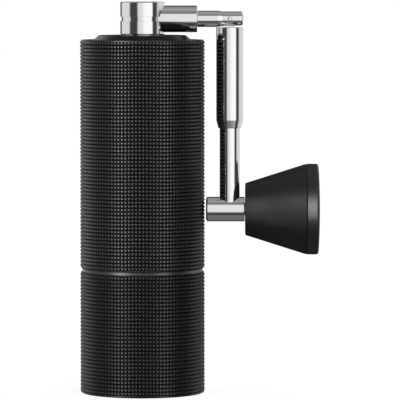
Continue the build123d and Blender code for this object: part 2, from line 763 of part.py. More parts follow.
def lock_sleeve():
    """Sliding sleeve that locks the fold joint straight, with a dished mouth."""
    top_z = ARM_Z - SLEEVE_TOP
    sleeve = turned(
        (ROD_R + RUN, SLEEVE_Z),
        (SLEEVE_END_R, SLEEVE_Z),
        (SLEEVE_R, SLEEVE_CONE_Z),
        (SLEEVE_R, top_z),
        (SLEEVE_MOUTH_R, top_z),
        (SLEEVE_MOUTH_R, SLEEVE_SHOULDER_Z),
        (SLEEVE_CHAMBER_R, SLEEVE_SHOULDER_Z),
        (SLEEVE_CHAMBER_R, SLEEVE_CHAMBER_Z),
        (ROD_R + RUN, SLEEVE_CHAMBER_Z),
    )
    dish = Pos(0, 0, ARM_Z) * Sphere(SLEEVE_DISH_R)
    return Pos(FOLD_X, 0, 0) * (sleeve - dish)


def sleeve_spring():
    """Spring that pushes the lock sleeve towards the crank."""
    return Pos(FOLD_X, 0, 0) * coil(
        SLEEVE_SPRING_R, SLEEVE_SPRING_WIRE_R, ROD_SHOULDER_Z, SLEEVE_SHOULDER_Z, SLEEVE_SPRING_TURNS
    )


def cross_tube():
    """Short bar across the rod's foot that carries the knob's axle."""
    bar = turned(
        (0, CROSS_X),
        (CROSS_R - CROSS_CHAMFER_R, CROSS_X),
        (CROSS_R, CROSS_X + CROSS_CHAMFER_X),
        (CROSS_R, KNOB_X - LOOSE),
        (AXLE_R, KNOB_X - LOOSE),
        (AXLE_R, AXLE_X),
        (0, AXLE_X),
    )
    return along_x(bar)


def knob_axle():
    """Axle pressed into the cross tube, tapped at its end."""
    axle = rod(AXLE_R, AXLE_X, AXLE_END_X)
    axle = chamfer(axle.edges().filter_by(GeomType.CIRCLE), AXLE_CHAMFER)
    return along_x(axle - rod(KNOB_SCREW_R, AXLE_END_X - AXLE_TAP, AXLE_END_X + PAST))


def knob_washer():
    """Washer between the rear bush and the screw."""
    low = AXLE_END_X + TOUCH
    return along_x(ring(KNOB_BORE_R - LOOSE, KNOB_SCREW_R + RUN, low, low + KNOB_WASHER))


def knob_screw():
    """Screw that keeps the knob on its axle."""
    head_x = AXLE_END_X + KNOB_WASHER + 2 * TOUCH
    end_x = head_x + KNOB_SCREW_HEAD
    shank = rod(KNOB_SCREW_R, AXLE_END_X - KNOB_SCREW_LENGTH, head_x)
    head = rod(KNOB_SCREW_HEAD_R, head_x, end_x)
    socket = hexagon_bar(KNOB_SCREW_HEX, end_x - KNOB_SCREW_HEX_DEPTH, end_x + PAST)
    return along_x(shank + head - socket)


def knob_body():
    """Flared grip, hollow from its wide end, round a central boss."""
    slope = (KNOB_WIDE_R - KNOB_NARROW_R) / (KNOB_SEAM_X - KNOB_X)
    outside = turned(
        (0, KNOB_X), (KNOB_NARROW_R, KNOB_X), (KNOB_WIDE_R, KNOB_SEAM_X), (0, KNOB_SEAM_X)
    )
    outside = round_rims(outside, KNOB_NARROW_R, KNOB_X, KNOB_NARROW_FILLET)
    pocket_r = KNOB_NARROW_R + slope * (KNOB_POCKET_X - KNOB_X) - KNOB_WALL
    pocket = turned(
        (KNOB_BOSS_R, KNOB_POCKET_X),
        (pocket_r, KNOB_POCKET_X),
        (KNOB_WIDE_R - KNOB_WALL, KNOB_SEAM_X + RUN),
        (KNOB_BOSS_R, KNOB_SEAM_X + RUN),
    )
    bore = rod(KNOB_BORE_R, KNOB_X - PAST, KNOB_SEAM_X + PAST)
    return along_x(outside - pocket - bore)


def knob_bush(start):
    """Plain bush in the knob."""
    return along_x(ring(KNOB_BORE_R - TOUCH, AXLE_R + RUN, start, start + BUSH_LENGTH))


def knob_cap():
    """Domed cap that closes the knob's wide end."""
    rise = KNOB_END_X - KNOB_FACE_X
    flat_r = KNOB_WIDE_R - CAP_ROUND
    dome_r = (flat_r ** 2 + rise ** 2) / (2 * rise)
    cap = rod(KNOB_WIDE_R, KNOB_SEAM_X + RUN, KNOB_FACE_X)
    cap = round_rims(cap, KNOB_WIDE_R, KNOB_FACE_X, CAP_ROUND)
    dome = Pos(0, 0, KNOB_END_X - dome_r) * Sphere(dome_r)
    dome &= rod(flat_r, KNOB_FACE_X, KNOB_END_X + PAST)
    spigot_r = KNOB_WIDE_R - KNOB_WALL - KNOB_SPIGOT_PLAY
    spigot = ring(
        spigot_r, spigot_r - KNOB_SPIGOT_WALL, KNOB_SEAM_X - KNOB_SPIGOT, KNOB_SEAM_X + ROOT
    )
    hollow = rod(KNOB_BOSS_R, KNOB_SEAM_X - PAST, KNOB_SEAM_X + CAP_HOLLOW)
    return along_x(cap + dome + spigot - hollow)


PARTS = {
    "upper_shell": upper_shell(),
    "bean_chamber": bean_chamber(),
    "upper_spider": upper_spider(),
    "lower_spider": lower_spider(),
    "upper_bearing_outer_race": bearing_outer(UPPER_BEARING_Z),
    "upper_bearing_inner_race": bearing_inner(UPPER_BEARING_Z),
    "upper_bearing_balls": bearing_balls(UPPER_BEARING_Z),
    "lower_bearing_outer_race": bearing_outer(LOWER_BEARING_Z),
    "lower_bearing_inner_race": bearing_inner(LOWER_BEARING_Z),
    "lower_bearing_balls": bearing_balls(LOWER_BEARING_Z),
    "burr_carrier": burr_carrier(),
    "outer_burr": outer_burr(),
    "burr_screws": burr_screws(),
    "inner_burr": inner_burr(),
    "burr_spring": burr_spring(),
    "drive_shaft": drive_shaft(),
    "shaft_washer": shaft_washer(),
    "shaft_clip": shaft_clip(),
    "click_plate": click_plate(),
    "adjuster_dial": adjuster_dial(),
    "click_balls": click_balls(),
    "click_springs": click_springs(),
    "catch_cup": catch_cup(),
    "cup_seal": cup_seal(),
    "lid": lid(),
    "lid_seal": lid_seal(),
    "lid_bush": lid_bush(),
    "crank_hub": crank_hub(),
    "hub_clip": hub_clip(),
    "crank_arm": crank_arm(),
    "fold_pin": fold_pin(),
    "lever_rod": lever_rod(),
    "lock_sleeve": lock_sleeve(),
    "sleeve_spring": sleeve_spring(),
    "cross_tube": cross_tube(),
    "knob_axle": knob_axle(),
    "knob_washer": knob_washer(),
    "knob_screw": knob_screw(),
    "knob_body": knob_body(),
    "knob_front_bush": knob_bush(FRONT_BUSH_X),
    "knob_rear_bush": knob_bush(REAR_BUSH_X),
    "knob_cap": knob_cap(),
}

os.makedirs("parts", exist_ok=True)
for node, solid in PARTS.items():
    export_step(solid, f"parts/{node}.step")
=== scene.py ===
"""Looks of the hand crank coffee grinder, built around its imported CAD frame."""

import json
from math import asin, cos, pi, radians, sin, sqrt, tan

import bmesh
import bpy
from mathutils import Matrix, Vector


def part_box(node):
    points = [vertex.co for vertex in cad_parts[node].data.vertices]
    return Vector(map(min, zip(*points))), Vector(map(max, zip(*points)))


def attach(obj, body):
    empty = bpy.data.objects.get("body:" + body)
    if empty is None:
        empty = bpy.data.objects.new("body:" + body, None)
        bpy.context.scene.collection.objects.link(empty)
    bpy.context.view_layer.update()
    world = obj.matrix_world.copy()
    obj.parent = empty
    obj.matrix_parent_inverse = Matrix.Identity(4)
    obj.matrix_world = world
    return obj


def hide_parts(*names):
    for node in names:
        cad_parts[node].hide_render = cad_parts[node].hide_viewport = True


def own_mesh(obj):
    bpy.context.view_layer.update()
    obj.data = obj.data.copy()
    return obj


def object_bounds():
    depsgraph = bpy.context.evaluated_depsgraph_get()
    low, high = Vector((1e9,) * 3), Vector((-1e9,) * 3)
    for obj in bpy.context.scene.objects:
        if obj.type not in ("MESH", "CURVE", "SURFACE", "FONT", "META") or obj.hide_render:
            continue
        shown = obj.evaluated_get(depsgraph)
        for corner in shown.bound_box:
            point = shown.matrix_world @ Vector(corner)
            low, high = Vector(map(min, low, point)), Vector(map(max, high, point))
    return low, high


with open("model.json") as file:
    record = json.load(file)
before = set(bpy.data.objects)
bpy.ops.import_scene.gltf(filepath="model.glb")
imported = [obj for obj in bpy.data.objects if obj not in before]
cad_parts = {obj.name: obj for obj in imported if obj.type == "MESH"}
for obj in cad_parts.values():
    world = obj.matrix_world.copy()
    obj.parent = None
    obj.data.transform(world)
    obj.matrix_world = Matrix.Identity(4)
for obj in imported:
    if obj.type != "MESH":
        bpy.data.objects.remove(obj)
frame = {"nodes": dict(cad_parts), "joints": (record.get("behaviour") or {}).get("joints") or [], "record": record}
cad_low, cad_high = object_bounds()

MM = 0.001
ROUND_STEPS = 160       # facets round a turned piece
SHARP = radians(32)     # edges sharper than this stay crisp


def box_mm(node):
    """A CAD node's lowest and highest corners, in millimetres."""
    low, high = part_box(node)
    return low / MM, high / MM


# --- node trees ----------------------------------------------------------------------------

def plug(sockets, key):
    """A socket by its number, or by its name among those in use."""
    if isinstance(key, int):
        return sockets[key]
    return next(s for s in sockets if s.name == key and s.enabled)


class Value:
    """A number or vector on its way through a node tree. Sums on it add Math nodes."""

    def __init__(self, graph, socket):
        self.graph, self.socket = graph, socket

    def math(self, operation, *others):
        return self.graph.get("ShaderNodeMath", {"operation": operation}, dict(enumerate((self, *others))))

    def __add__(self, other):
        return self.math("ADD", other)

    __radd__ = __add__

    def __mul__(self, other):
        return self.math("MULTIPLY", other)

    __rmul__ = __mul__

    def __sub__(self, other):
        return self.math("SUBTRACT", other)

    def __rsub__(self, other):
        return (self * -1.0) + other

    def __truediv__(self, other):
        return self.math("DIVIDE", other)

    def __mod__(self, other):
        return self.math("FLOORED_MODULO", other)

    def rounded(self):
        return self.math("ROUND")

    def step(self, low, high, out_low=0.0, out_high=1.0):
        """Rises smoothly from out_low to out_high between low and high."""
        ends = {"From Min": low, "From Max": high, "To Min": out_low, "To Max": out_high}
        return self.graph.get(
            "ShaderNodeMapRange", {"interpolation_type": "SMOOTHSTEP"}, {"Value": self, **ends}
        )


class Graph:
    """A node tree, and the one method that every node in it comes from."""

    def __init__(self, tree):
        self.tree = tree

    def add(self, kind, settings=None, sockets=None):
        node = self.tree.nodes.new(kind)
        for name, value in (settings or {}).items():
            setattr(node, name, value)
        for key, value in (sockets or {}).items():
            if isinstance(value, Value):
                self.tree.links.new(value.socket, plug(node.inputs, key))
            else:
                plug(node.inputs, key).default_value = value
        return node

    def get(self, kind, settings=None, sockets=None, output=0):
        return Value(self, plug(self.add(kind, settings, sockets).outputs, output))

    def mix(self, share, first, second):
        """One colour where share is 0, the other where it is 1."""
        sides = {"Factor": share, "A": first, "B": second}
        return self.get("ShaderNodeMix", {"data_type": "RGBA"}, sides, "Result")

    def split(self, vector):
        parts = self.add("ShaderNodeSeparateXYZ", sockets={0: vector})
        return [Value(self, s) for s in parts.outputs]

    def join(self, x, y, z):
        return self.get("ShaderNodeCombineXYZ", sockets={0: x, 1: y, 2: z})


# --- finishes ------------------------------------------------------------------------------

class Finish(Graph):
    """A material for one kind of surface, with its Principled shader ready."""

    def __init__(self, name, **even):
        self.material = bpy.data.materials.new(name)
        self.material.use_nodes = True
        super().__init__(self.material.node_tree)
        self.tree.nodes.clear()
        even = {key.replace("_", " "): value for key, value in even.items()}
        self.shader = self.add("ShaderNodeBsdfPrincipled", sockets=even)
        surface = Value(self, self.shader.outputs[0])
        self.add("ShaderNodeOutputMaterial", sockets={"Surface": surface})
        self.place = self.get("ShaderNodeTexCoord", output="Object")

    def vary(self, **sockets):
        """Feeds the shader what changes over the surface."""
        for key, value in sockets.items():
            self.tree.links.new(value.socket, plug(self.shader.inputs, key.replace("_", " ")))
        return self.material

    def noise(self, size_mm, detail=2.0, stretch=(1.0, 1.0, 1.0), roughness=0.5):
        """Noise with features of about one size, longer along an axis where stretch is over 1."""
        shrink = tuple(1.0 / s for s in stretch)
        place = self.get("ShaderNodeMapping", sockets={"Vector": self.place, "Scale": shrink})
        grain = {"Vector": place, "Scale": 1.0 / (size_mm * MM), "Detail": detail, "Roughness": roughness}
        return self.get("ShaderNodeTexNoise", sockets=grain)

    def bump(self, height, depth_mm, strength=1.0):
        relief = {"Height": height, "Distance": depth_mm * MM, "Strength": strength}
        return self.get("ShaderNodeBump", sockets=relief)

    def off_axis(self):
        """Distance from the grinding axis, in millimetres."""
        x, y, _ = self.split(self.place)
        return (x * x + y * y).math("SQRT") / MM


def grey(level, tint=(1.0, 1.0, 1.0)):
    return (level * tint[0], level * tint[1], level * tint[2], 1.0)


def knurled_anodising(radius_mm, depth_mm, wall_mm, seam_mm, top_mm):
    """Black anodised aluminium, smoother on the knurl's tips and on plain faces. Painted shade makes the knurl's
    grooves nearly black, and the cup below the seam is made darker.
    """
    skin = Finish("black_anodised_knurl", IOR=1.48)
    reach = skin.off_axis()
    up = skin.split(skin.place)[2] / MM
    tips = reach.step(radius_mm - 0.55 * depth_mm, radius_mm)
    near_seam = up.step(seam_mm - 0.4, seam_mm - 0.3) * up.step(seam_mm + 2.0, seam_mm + 2.1, 1.0, 0.0)
    shoulder, foot = up.step(top_mm - 0.4, top_mm - 0.3), up.step(0.85, 0.95, 1.0, 0.0)
    inside = reach.step(wall_mm - 0.2, wall_mm, 1.0, 0.0)
    plain = near_seam + shoulder + foot + inside
    shown = tips.math("MAXIMUM", plain)
    patches = skin.noise(9.0, 3.0)
    grain = skin.noise(0.16, 2.0)
    wear = shown * patches.step(0.35, 0.75, 0.5, 1.0)
    colour = skin.mix(wear, grey(0.006), grey(0.008, (1.0, 0.99, 0.97)))
    rough = 0.44 - wear * 0.17 + grain * 0.06
    # painted shade: metallic over the near-black base colour blacks out the grooves' reflection; below the seam
    # the cup's tips and plain faces are made darker too
    groove_painted_shade, cup_darkening = 0.88, 0.42
    groove_shade_and_darker_cup = (1.0 - shown) * groove_painted_shade + up.step(seam_mm - 0.3, seam_mm - 0.1, cup_darkening, 0.0) * shown
    return skin.vary(Base_Color=colour, Metallic=groove_shade_and_darker_cup, Roughness=rough, Normal=skin.bump(grain, 0.012, 0.5))


def polished_steel():
    """Mirror-polished steel with faint smears and hairlines."""
    skin = Finish("polished_steel", Metallic=1.0)
    smears = skin.noise(7.0, 4.0, roughness=0.6)
    hairlines = skin.noise(0.5, 2.0, stretch=(0.25, 0.25, 12.0))
    colour = skin.mix(smears, grey(0.84, (1.0, 0.995, 0.985)), grey(0.90, (1.0, 0.998, 0.99)))
    rough = smears.step(0.3, 0.8, 0.035, 0.075) + hairlines * 0.012
    return skin.vary(Base_Color=colour, Roughness=rough, Normal=skin.bump(hairlines, 0.0006, 0.3))


def satin_black(name, level, rough, grain_mm, depth_mm, **even):
    """Black moulded plastic with a fine even grain and faint handling marks."""
    skin = Finish(name, **{"Metallic": 0.0, "IOR": 1.46, **even})
    grain = skin.noise(grain_mm, 3.0, roughness=0.6)
    marks = skin.noise(11.0, 3.0)
    colour = skin.mix(marks, grey(level * 0.9), grey(level * 1.12, (1.0, 1.0, 0.985)))
    haze = marks.step(0.3, 0.7, rough - 0.03, rough + 0.04) + grain * 0.05
    return skin.vary(Base_Color=colour, Roughness=haze, Normal=skin.bump(grain, depth_mm, 0.6))


def turned_metal(name, level, rough, tint=(1.0, 1.0, 1.0)):
    """Metal with fine turning rings round the grinding axis and along it."""
    skin = Finish(name, Metallic=1.0)
    _, _, up = skin.split(skin.place)
    out = skin.off_axis() * MM
    ring = skin.get(
        "ShaderNodeTexNoise", sockets={"Vector": skin.join(out, up, 0.0), "Scale": 4000.0, "Detail": 2.0}
    )
    stains = skin.noise(5.0, 3.0)
    colour = skin.mix(stains, grey(level * 0.88, tint), grey(level * 1.08, tint))
    return skin.vary(
        Base_Color=colour, Roughness=ring * 0.14 + (rough - 0.07), Normal=skin.bump(ring, 0.006, 0.5)
    )


def moulded(name, colour_low, colour_high, rough, grain_mm=0.3):
    """Plain moulded plastic or rubber with a fine spark-eroded grain."""
    skin = Finish(name, Metallic=0.0, IOR=1.48)
    grain = skin.noise(grain_mm, 2.0)
    cloud = skin.noise(14.0, 2.0)
    colour = skin.mix(cloud, colour_low, colour_high)
    return skin.vary(
        Base_Color=colour, Roughness=grain * 0.1 + (rough - 0.05), Normal=skin.bump(grain, 0.01, 0.5)
    )


# --- meshes --------------------------------------------------------------------------------

def unit(a, b):
    """The direction from a to b in an outline, and the distance."""
    length = ((b[0] - a[0]) ** 2 + (b[1] - a[1]) ** 2) ** 0.5
    return ((b[0] - a[0]) / length, (b[1] - a[1]) / length), length


def softened(corners, closed, arc_steps=5, lead=0.12):
    """An outline with its rounded corners drawn as arcs. A corner is (radius, height) or
    (radius, height, fillet). A lead point on each side keeps the arc's shading to itself."""
    points = []
    last = len(corners) - 1
    for i, corner in enumerate(corners):
        here, fillet = corner[:2], (corner[2] if len(corner) > 2 else 0.0)
        if not fillet or (not closed and i in (0, last)):
            points.append(here)
            continue
        before, after = corners[i - 1][:2], corners[(i + 1) % len(corners)][:2]
        to_before, room_before = unit(here, before)
        to_after, room_after = unit(here, after)
        dot = max(-1.0, min(1.0, to_before[0] * to_after[0] + to_before[1] * to_after[1]))
        half = ((1.0 - dot) / 2.0) ** 0.5
        reach = fillet * ((1.0 + dot) / 2.0) ** 0.5 / half
        middle = ((to_before[0] + to_after[0]), (to_before[1] + to_after[1]))
        size = (middle[0] ** 2 + middle[1] ** 2) ** 0.5
        centre = tuple(here[k] + middle[k] / size * fillet / half for k in (0, 1))
        start = tuple(here[k] + to_before[k] * reach for k in (0, 1))
        end = tuple(here[k] + to_after[k] * reach for k in (0, 1))
        if room_before > 2 * (reach + lead):
            points.append(tuple(start[k] + to_before[k] * lead for k in (0, 1)))
        for step in range(arc_steps + 1):
            share = step / arc_steps
            spoke = [(start[k] - centre[k]) * (1 - share) + (end[k] - centre[k]) * share for k in (0, 1)]
            stretch = fillet / (spoke[0] ** 2 + spoke[1] ** 2) ** 0.5
            points.append(tuple(centre[k] + spoke[k] * stretch for k in (0, 1)))
        if room_after > 2 * (reach + lead):
            points.append(tuple(end[k] + to_after[k] * lead for k in (0, 1)))
    return points


def finished_mesh(mesh):
    """Closes seams, turns faces outwards and keeps only the real edges crisp."""
    work = bmesh.new()
    work.from_mesh(mesh)
    bmesh.ops.remove_doubles(work, verts=work.verts, dist=0.004 * MM)
    bmesh.ops.recalc_face_normals(work, faces=work.faces)
    work.to_mesh(mesh)
    work.free()
    mesh.shade_smooth()
    mesh.set_sharp_from_angle(angle=SHARP)
    return mesh


def new_piece(name, mesh, material, body, slot, *nodes):
    """Puts a finished mesh in the scene, riding on its body in place of its CAD nodes."""
    piece = bpy.data.objects.new(name, mesh)
    bpy.context.scene.collection.objects.link(piece)
    mesh.materials.clear()
    mesh.materials.append(material)
    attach(piece, body)
    if nodes:
        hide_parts(*nodes)
    return piece


def ring_points(radius, height, steps):
    return [
        (radius * cos(2 * pi * i / steps), radius * sin(2 * pi * i / steps), height) for i in range(steps)
    ]


def turned(name, corners, place=Matrix.Identity(4), closed=True, steps=ROUND_STEPS, arc_steps=5):
    """A mesh turned about Z from an outline in millimetres, then put in place. An outline
    that isn't closed starts and ends on the axis."""
    outline = softened(corners, closed, arc_steps)
    work = bmesh.new()
    rings = []
    for radius, height in outline:
        spots = ring_points(radius, height, steps) if radius > 1e-6 else [(0.0, 0.0, height)]
        rings.append([work.verts.new(Vector(p) * MM) for p in spots])
    pairs = list(zip(rings, rings[1:])) + ([(rings[-1], rings[0])] if closed else [])
    for a, b in pairs:
        for i in range(steps):
            j = (i + 1) % steps
            loop = [a[i % len(a)], a[j % len(a)], b[j % len(b)], b[i % len(b)]]
            face = [v for k, v in enumerate(loop) if v not in loop[:k]]
            if len(face) > 2:
                work.faces.new(face)
    mesh = bpy.data.meshes.new(name)
    work.to_mesh(mesh)
    work.free()
    finished_mesh(mesh)
    mesh.transform(place)
    return mesh


def along_x(height_mm):
    """Lays what was turned about Z along X, at a height."""
    return Matrix.Translation((0, 0, height_mm * MM)) @ Matrix.Rotation(pi / 2, 4, "Y")


def across_y():
    """Lays what was turned about Z along Y, on the fold joint's axis."""
    return Matrix.Translation((FOLD_X * MM, 0, ARM_Z * MM)) @ Matrix.Rotation(pi / 2, 4, "X")


def block_mesh(name, low, high):
    """A box between two corners in millimetres."""
    work = bmesh.new()
    bmesh.ops.create_cube(work, size=1.0)
    size = Vector(high) - Vector(low)
    centre = (Vector(high) + Vector(low)) / 2
    for v in work.verts:
        v.co = Vector(c * s for c, s in zip(v.co, size)) * MM + centre * MM
    mesh = bpy.data.meshes.new(name)
    work.to_mesh(mesh)
    work.free()
    return mesh


def carved(mesh, *cutters, operation="DIFFERENCE"):
    """The mesh after a boolean with each cutter."""
    body = bpy.data.objects.new("carved", mesh)
    bpy.context.scene.collection.objects.link(body)
    tools = []
    for cutter in cutters:
        tool = bpy.data.objects.new("cutter", cutter)
        bpy.context.scene.collection.objects.link(tool)
        step = body.modifiers.new("cut", "BOOLEAN")
        step.operation, step.object, step.solver = operation, tool, "EXACT"
        tools.append(tool)
    done = bpy.data.meshes.new_from_object(body.evaluated_get(bpy.context.evaluated_depsgraph_get()))
    for item in (body, *tools):
        bpy.data.objects.remove(item)
    return finished_mesh(done)


# --- geometry nodes --------------------------------------------------------------------------

class Recipe(Graph):
    """A Geometry Nodes tree with named inputs."""

    def __init__(self, name, **inputs):
        super().__init__(bpy.data.node_groups.new(name, "GeometryNodeTree"))
        face = self.tree.interface
        face.new_socket("Geometry", in_out="INPUT", socket_type="NodeSocketGeometry")
        face.new_socket("Geometry", in_out="OUTPUT", socket_type="NodeSocketGeometry")
        self.keys = {}
        for label, value in inputs.items():
            kind = "NodeSocketInt" if isinstance(value, int) else "NodeSocketFloat"
            socket = face.new_socket(label.replace("_", " "), in_out="INPUT", socket_type=kind)
            socket.default_value = value
            self.keys[label] = socket.identifier
        finish = face.new_socket("Finish", in_out="INPUT", socket_type="NodeSocketMaterial")
        self.keys["Finish"] = finish.identifier
        self.start = self.tree.nodes.new("NodeGroupInput")

    def entry(self, label):
        return Value(self, plug(self.start.outputs, label))

    def close(self, geometry):
        """Realises what was made, gives it its material and ends the tree."""
        real = self.get("GeometryNodeRealizeInstances", sockets={"Geometry": geometry})
        coated = self.get(
            "GeometryNodeSetMaterial", sockets={"Geometry": real, "Material": self.entry("Finish")}
        )
        self.add("NodeGroupOutput", sockets={"Geometry": coated})
        return self

    def grown_from(self, source, finish, **values):
        """The plain mesh that the tree makes from a source mesh."""
        holder = bpy.data.objects.new("holder", source)
        bpy.context.scene.collection.objects.link(holder)
        growth = holder.modifiers.new("growth", "NODES")
        growth.node_group = self.tree
        for label, value in values.items():
            growth[self.keys[label]] = value
        growth[self.keys["Finish"]] = finish
        graph = bpy.context.evaluated_depsgraph_get()
        mesh = bpy.data.meshes.new_from_object(holder.evaluated_get(graph))
        holder.modifiers.clear()
        bpy.data.objects.remove(holder)
        return finished_mesh(mesh)


def lathe_grid(recipe, around, outline_count):
    """A grid bent round the grinding axis: (whole turns step, outline step, angle)."""
    grid = recipe.add(
        "GeometryNodeMeshGrid",
        sockets={"Size X": 1.0, "Size Y": 1.0, "Vertices X": around + 1, "Vertices Y": outline_count + 1},
    )
    x, y, _ = recipe.split(recipe.get("GeometryNodeInputPosition"))
    column = ((x + 0.5) * around).rounded()
    row = ((y + 0.5) * outline_count).rounded() % outline_count
    return Value(recipe, grid.outputs["Mesh"]), column, row, column / around * (2 * pi)


def read_outline(recipe, kind, value, row):
    """A property of the outline's point number row."""
    source = {"Geometry": recipe.entry("Geometry"), "Value": value, "Index": row}
    return recipe.get("GeometryNodeSampleIndex", {"data_type": kind, "domain": "POINT"}, source, "Value")


def outline_mark(recipe, name, row):
    stored = recipe.get(
        "GeometryNodeInputNamedAttribute", {"data_type": "FLOAT"}, {"Name": name}, "Attribute"
    )
    return read_outline(recipe, "FLOAT", stored, row)


def lathe_recipe():
    """Turns an outline about Z, with square knurling and screw threads where it is marked.
    On the knurl every third step round is a groove, as is every point with no ridge mark.
    A thread marked 1 is cut inwards and one marked -1 outwards."""
    recipe = Recipe(
        "lathe", Columns=108, Points=10, Knurl_depth=0.4 * MM, Thread_depth=0.5 * MM, Pitch=2.0 * MM
    )
    around = recipe.entry("Columns") * 3.0
    grid, column, row, angle = lathe_grid(recipe, around, recipe.entry("Points"))
    place = recipe.get("GeometryNodeInputPosition")
    radius, _, height = recipe.split(read_outline(recipe, "FLOAT_VECTOR", place, row))
    standing = outline_mark(recipe, "ridge", row) * (column % 3.0).math("GREATER_THAN", 0.5)
    knurl = recipe.entry("Knurl depth") * outline_mark(recipe, "knurled", row) * (1.0 - standing)
    turn = (height / recipe.entry("Pitch") - angle / (2 * pi)) % 1.0
    flank = (turn * 2.0 - 1.0).math("ABSOLUTE").step(0.2, 0.8)
    thread = recipe.entry("Thread depth") * outline_mark(recipe, "threaded", row) * flank
    reach = radius - knurl - thread
    spot = recipe.join(reach * angle.math("COSINE"), reach * angle.math("SINE"), height)
    bent = recipe.get("GeometryNodeSetPosition", sockets={"Geometry": grid, "Position": spot})
    sides = recipe.get(
        "GeometryNodeTriangulate", {"quad_method": "LONGEST_DIAGONAL"}, {"Mesh": bent}
    )
    return recipe.close(sides)


def coil_recipe():
    """A round-wire spring about Z that stands on the XY plane."""
    recipe = Recipe("coil", Steps=28, Turns=9.0, Radius=4.0 * MM, Wire=0.35 * MM, Height=25.0 * MM)
    radius = recipe.entry("Radius")
    sizes = {
        "Resolution": recipe.entry("Steps"), "Rotations": recipe.entry("Turns"),
        "Start Radius": radius, "End Radius": radius, "Height": recipe.entry("Height"),
    }
    spiral = recipe.get("GeometryNodeCurveSpiral", sockets=sizes)
    section = recipe.get(
        "GeometryNodeCurvePrimitiveCircle", sockets={"Resolution": 12, "Radius": recipe.entry("Wire")}
    )
    ends = {"Curve": spiral, "Profile Curve": section, "Fill Caps": True}
    return recipe.close(recipe.get("GeometryNodeCurveToMesh", sockets=ends))


def outline_mesh(name, points, **marks):
    """A closed outline as a mesh in the XZ plane, with a mark for every point."""
    mesh = bpy.data.meshes.new(name)
    count = len(points)
    mesh.from_pydata(
        [(r * MM, 0.0, z * MM) for r, z in points], [(i, (i + 1) % count) for i in range(count)], []
    )
    for mark, values in marks.items():
        mesh.attributes.new(mark, "FLOAT", "POINT").data.foreach_set("value", [float(v) for v in values])
    return mesh


def plain_rows(points):
    """Outline points with no mark: (radius, height, knurled, ridge, threaded)."""
    return [(r, z, 0, 0, 0) for r, z in points]


def knurl_rows(radius, high, low):
    """Outline points down a knurled band: a groove, then a ridge's two edges, and so on."""
    count = round((high - low) / KNURL_PITCH)
    step = (high - low) / count / 3
    return [(radius, high - step * i, 1, i % 3 != 0, 0) for i in range(3 * count + 1)]


def thread_rows(radius, start, end, side):
    """Outline points along a thread, its first and last sixths fading out."""
    count = round(abs(end - start) / THREAD_STEP)
    rows = []
    for i in range(count + 1):
        share = i / count
        cut = side * min(1.0, 6 * share, 6 - 6 * share)
        rows.append((radius, start + (end - start) * share, 0, 0, cut))
    return rows


LATHE = lathe_recipe()
COIL = coil_recipe()
KNURL_COLUMNS = 108
KNURL_DEPTH = 0.45
KNURL_PITCH = 1.52
THREAD_COLUMNS = 60
THREAD_DEPTH = 0.55
THREAD_PITCH = 2.0
THREAD_STEP = 0.2       # between two outline points of a thread


def lathed_piece(name, rows, finish, columns, *home):
    """A closed outline of marked rows, turned and put in place of its CAD node."""
    marks = {mark: [row[i] for row in rows] for i, mark in enumerate(("knurled", "ridge", "threaded"), 2)}
    source = outline_mesh(name, [row[:2] for row in rows], **marks)
    mesh = LATHE.grown_from(
        source, FINISH[finish], Columns=columns, Points=len(rows),
        Knurl_depth=KNURL_DEPTH * MM, Thread_depth=THREAD_DEPTH * MM, Pitch=THREAD_PITCH * MM,
    )
    return new_piece(name, mesh, FINISH[finish], *home)


# --- pieces --------------------------------------------------------------------------------

shell_low, shell_high = box_mm("upper_shell")
cup_low, cup_high = box_mm("catch_cup")
BODY_R = shell_high.x
SHELL_LIP = (0.85, 1.3, 0.65)   # how far in the plain lip stands, its height, the bevel's height
CUP_EDGE = 0.3                  # bevel round the cup's upper edge
CUP_WALL_R = 24.8               # faces further in than this are bore or thread
KNOB_BOSS_R = 7.5
NECK_R = 3.4
COLLAR_ROOT_X, COLLAR_END_X = 6.15, 22.9
TAPER_START_X, TAPER_END_X = 31.6, 33.3
SLOT_HALF, TONGUE_HALF = 1.3, 1.2
ROD_R, STEM_R, SLEEVE_MOUTH_R = 4.175, 3.1, 3.55
ROD_SHOULDER_Z = 122.0
SLEEVE_CONE_Z = 114.0
SPRING_CHAMBER_R, SPRING_CHAMBER_Z, SPRING_SHOULDER_Z = 4.9, 121.5, 147.0

FINISH = {
    "knurl": knurled_anodising(
        BODY_R, KNURL_DEPTH, CUP_WALL_R, (shell_low.z + cup_high.z) / 2, shell_high.z
    ),
    "chrome": polished_steel(),
    "lid": satin_black("lid_satin", 0.003, 0.30, 0.25, 0.008, IOR=1.36),
    "grip": satin_black("grip_satin", 0.012, 0.42, 0.35, 0.012),
    "cap": satin_black("cap_satin", 0.008, 0.34, 0.30, 0.008, IOR=1.6),
    "chamber": moulded("chamber_moulding", grey(0.018), grey(0.028), 0.5),
    "burr": turned_metal("ground_burr_steel", 0.52, 0.30),
    "turned": turned_metal("turned_steel", 0.60, 0.26),
    "bearing": turned_metal("bearing_steel", 0.70, 0.16),
    "wire": turned_metal("spring_wire", 0.50, 0.28, (1.0, 0.98, 0.95)),
    "dial": turned_metal("dial_aluminium", 0.62, 0.32),
    "seal": moulded("seal_silicone", grey(0.020), grey(0.030), 0.55, 0.2),
    "bush": moulded("acetal_white", grey(0.62, (1.0, 0.98, 0.92)), grey(0.70, (1.0, 0.98, 0.93)), 0.45),
}

SLOT_FINISH = {
    "chamber_plastic": "chamber", "burr_steel": "burr", "turned_steel": "turned",
    "bearing_steel": "bearing", "spring_steel": "wire", "dial_aluminium": "dial",
    "seal_rubber": "seal", "bush_plastic": "bush", "polished_steel": "chrome",
    "lid_black": "lid", "knob_black": "grip", "knob_cap_black": "cap", "body_black": "knurl",
}


